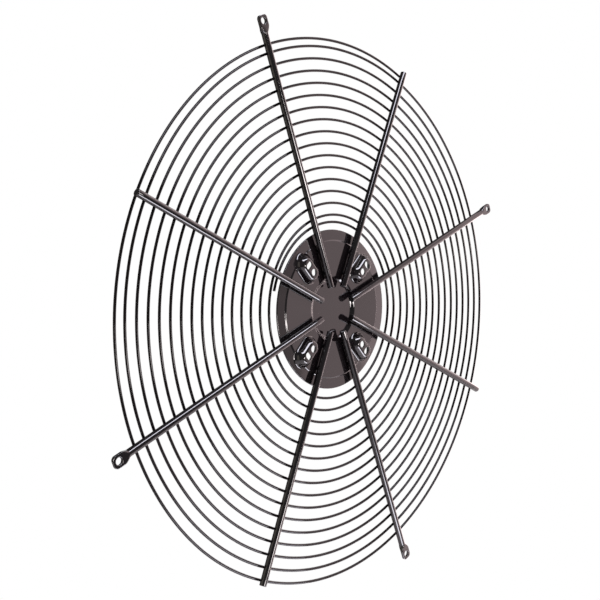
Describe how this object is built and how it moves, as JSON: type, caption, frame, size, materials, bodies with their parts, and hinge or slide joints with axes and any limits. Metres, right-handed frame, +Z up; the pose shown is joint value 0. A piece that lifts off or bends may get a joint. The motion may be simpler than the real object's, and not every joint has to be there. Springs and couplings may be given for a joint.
{
  "type": "axial fan guard",
  "caption": "Round spiral-wire guard for an axial fan, with radial rods, fixing eyelets and a pressed motor plate.",
  "frame": {"origin": "on the fan's axis, in the plane on which the four eyelets seat", "axes": "Y along the fan's axis with the motor side facing -Y, +Z up, +X to the right as the motor side is seen"},
  "size_m": [0.661, 0.0178, 0.661],
  "materials": {
    "wire_coat": "glossy black coat",
    "rod_coat": "glossy black coat",
    "plate_coat": "satin black coat"
  },
  "bodies": {
    "root": {"spiral_wire": "wire_coat", "mounting_rod_1": "rod_coat", "mounting_rod_2": "rod_coat", "mounting_rod_3": "rod_coat", "mounting_rod_4": "rod_coat", "plain_rod_1": "rod_coat", "plain_rod_2": "rod_coat", "plain_rod_3": "rod_coat", "plain_rod_4": "rod_coat", "motor_plate": "plate_coat"}
  },
  "joints": []
}
